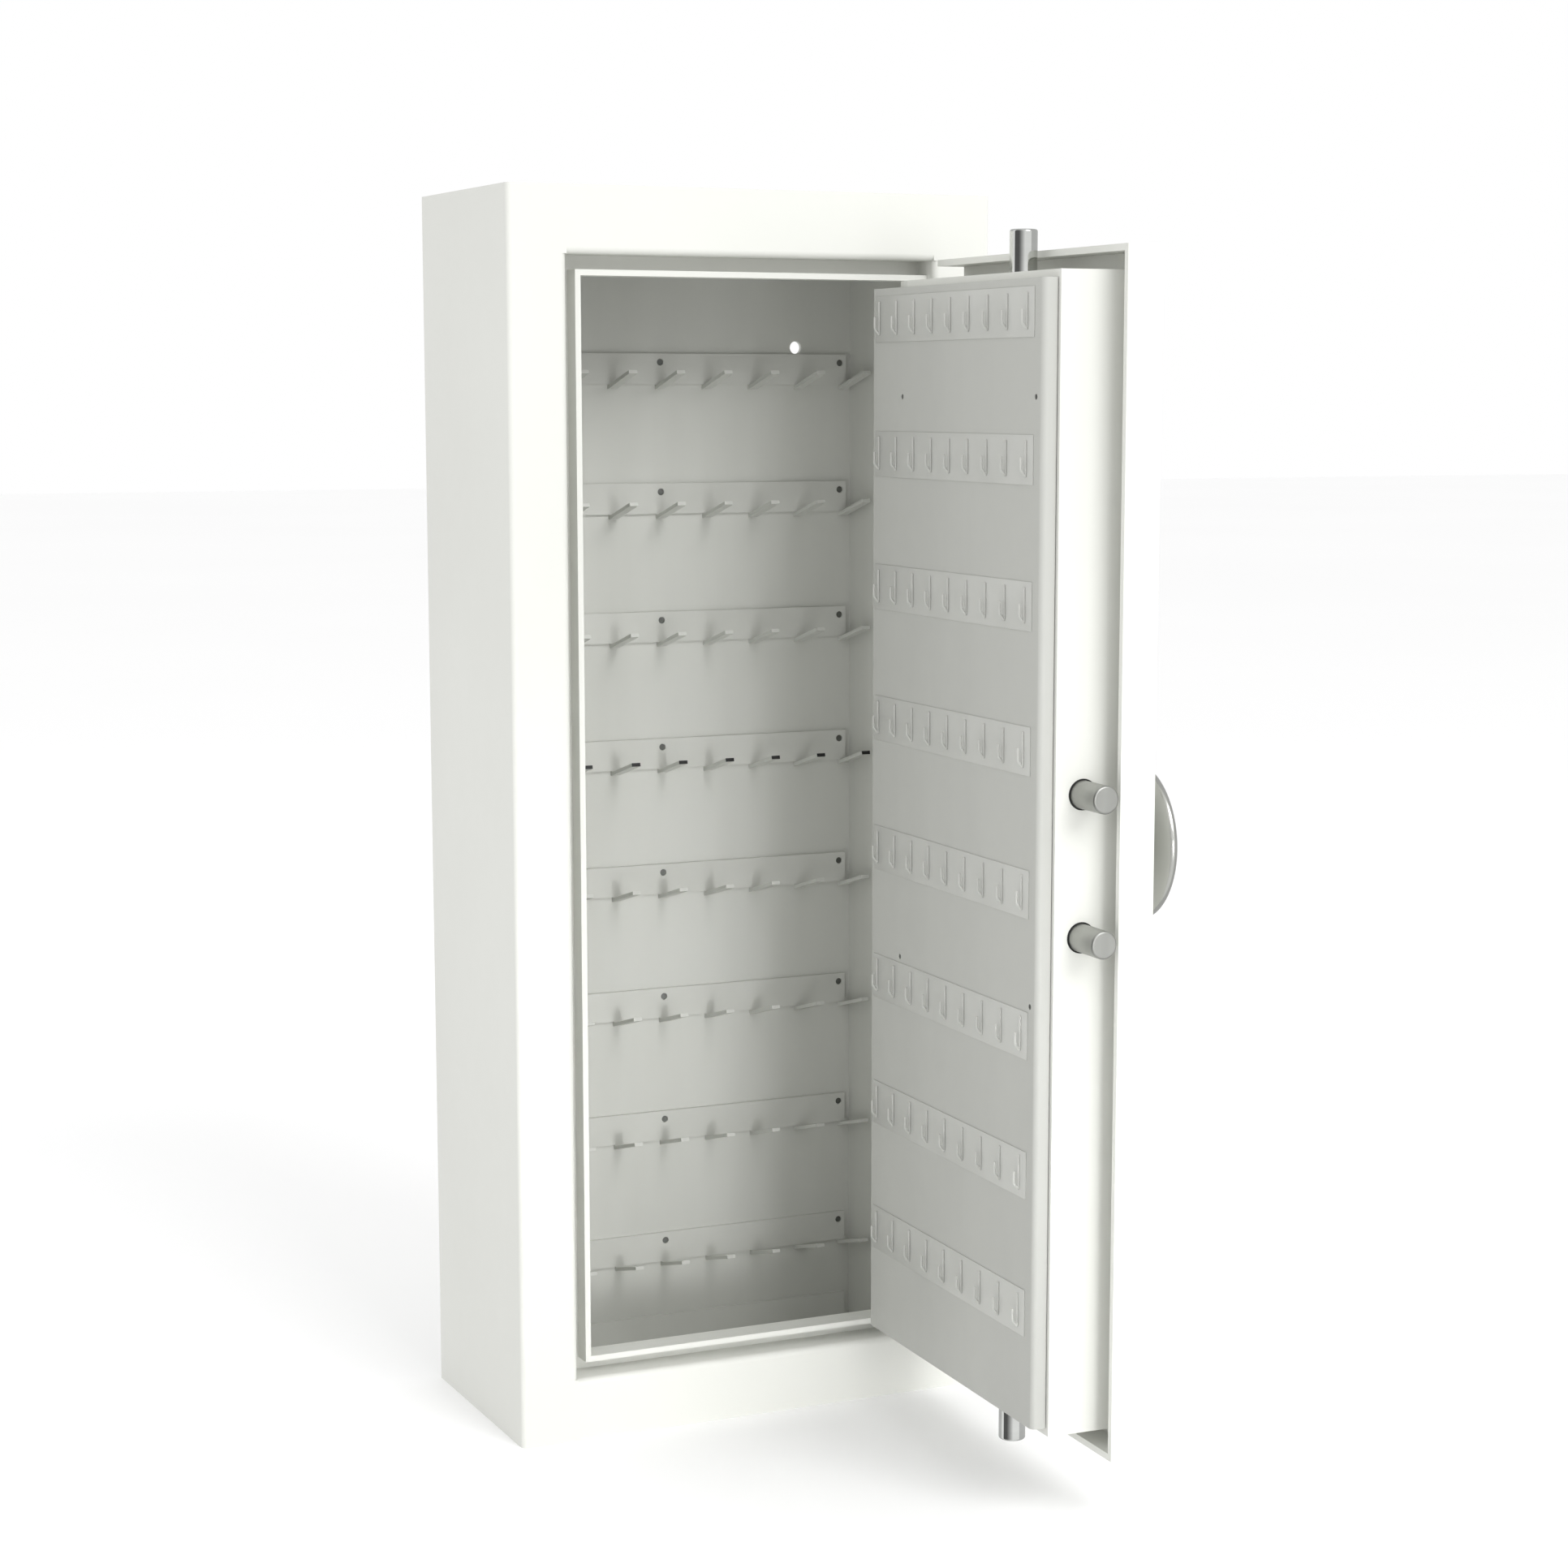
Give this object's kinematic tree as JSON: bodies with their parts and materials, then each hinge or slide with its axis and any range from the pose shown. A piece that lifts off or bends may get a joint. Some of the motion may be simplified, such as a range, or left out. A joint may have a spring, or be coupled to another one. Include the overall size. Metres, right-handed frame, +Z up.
{
  "type": "key cabinet",
  "caption": "Steel security key cabinet with a thick inset door on external hinges, multi-way locking bolts worked by a handwheel, and rows of hanging prongs and hooks for keys.",
  "frame": {"origin": "centre of the cabinet's base, on the floor; the open door is left out of that centre", "axes": "+X to the hinge side, -Y out of the front, +Z up"},
  "size_m": [0.5237, 0.6923, 1.2],
  "materials": {
    "powder_coat": "satin warm white powder coat",
    "inner_coat": "satin light grey coat",
    "filler": "matt mineral filler",
    "satin_steel": "satin turned steel",
    "polished_steel": "polished chrome",
    "plain_steel": "zinc plated steel",
    "brass": "machined brass",
    "black_plastic": "matt black plastic"
  },
  "bodies": {
    "cabinet": {"left_side": "powder_coat", "right_side": "powder_coat", "top_rail": "powder_coat", "bottom_rail": "powder_coat", "roof_panel": "powder_coat", "floor_panel": "powder_coat", "back_plate": "inner_coat", "rebate_plate": "powder_coat", "left_lip": "powder_coat", "top_lip": "powder_coat", "bottom_lip": "powder_coat", "left_lining": "inner_coat", "right_lining": "inner_coat", "left_infill": "filler", "right_infill": "filler", "bottom_stiffener": "inner_coat", "key_rail_1": "inner_coat", "key_rail_2": "inner_coat", "key_rail_3": "inner_coat", "key_rail_4": "inner_coat", "key_rail_5": "inner_coat", "key_rail_6": "inner_coat", "key_rail_7": "inner_coat", "key_rail_8": "inner_coat", "rail_rivets": "plain_steel", "prong_pads": "black_plastic", "lower_frame_lug": "powder_coat", "upper_frame_lug": "powder_coat", "hinge_pins": "plain_steel", "hinge_washers": "brass"},
    "door": {"lower_door_lug": "powder_coat", "upper_door_lug": "powder_coat", "door_pan": "powder_coat", "bolt_case": "powder_coat", "hook_tray": "inner_coat", "tray_screws": "plain_steel", "hook_rows_upper": "inner_coat", "hook_rows_lower": "inner_coat", "hook_row_screws": "plain_steel", "spindle_bush": "brass", "wheel_rose": "satin_steel", "side_bushes": "black_plastic", "end_bushes": "black_plastic", "bar_keepers": "plain_steel", "lock_case": "plain_steel", "key_plate": "satin_steel"},
    "wheel": {"handwheel": "satin_steel", "spindle": "plain_steel", "crank_disc": "plain_steel", "crank_nut": "plain_steel"},
    "side_bolt_set": {"side_draw_bar": "plain_steel", "side_bolts": "satin_steel"},
    "top_bolt_set": {"top_draw_bar": "plain_steel", "top_bolt": "polished_steel"},
    "bottom_bolt_set": {"bottom_draw_bar": "plain_steel", "bottom_bolt": "polished_steel"},
    "lock_core": {"lock_core": "brass"},
    "lock_latch": {"lock_latch": "plain_steel"}
  },
  "joints": [
    {"name": "door_swing", "type": "hinge", "parent": "cabinet", "child": "door", "pos_m": [0.2213, -0.1456, 0.6], "axis": [0, 0, 1], "range_deg": [-88, 32]},
    {"name": "wheel_turn", "type": "hinge", "parent": "door", "child": "wheel", "pos_m": [0.19175, -0.40153, 0.599], "axis": [-0.9994, 0.0349, 0], "range_deg": [0, 90]},
    {"name": "side_bolts_slide", "type": "slide", "parent": "door", "child": "side_bolt_set", "axis": [0.0349, 0.9994, 0], "range_m": [0, 0.04]},
    {"name": "top_bolt_slide", "type": "slide", "parent": "door", "child": "top_bolt_set", "axis": [0, 0, -1], "range_m": [0, 0.04]},
    {"name": "bottom_bolt_slide", "type": "slide", "parent": "door", "child": "bottom_bolt_set", "axis": [0, 0, 1], "range_m": [0, 0.04]},
    {"name": "lock_turn", "type": "hinge", "parent": "door", "child": "lock_core", "pos_m": [0.18868, -0.48947, 0.78], "axis": [-0.9994, 0.0349, 0], "range_deg": [0, 90]},
    {"name": "latch_slide", "type": "slide", "parent": "door", "child": "lock_latch", "axis": [0, 0, -1], "range_m": [0, 0.0099]}
  ],
  "couplings": [
    {"joint": "side_bolts_slide", "follows": "wheel_turn", "m_per_rad": 0.025464},
    {"joint": "top_bolt_slide", "follows": "wheel_turn", "m_per_rad": 0.025464},
    {"joint": "bottom_bolt_slide", "follows": "wheel_turn", "m_per_rad": 0.025464},
    {"joint": "latch_slide", "follows": "lock_turn", "m_per_rad": 0.0063}
  ]
}
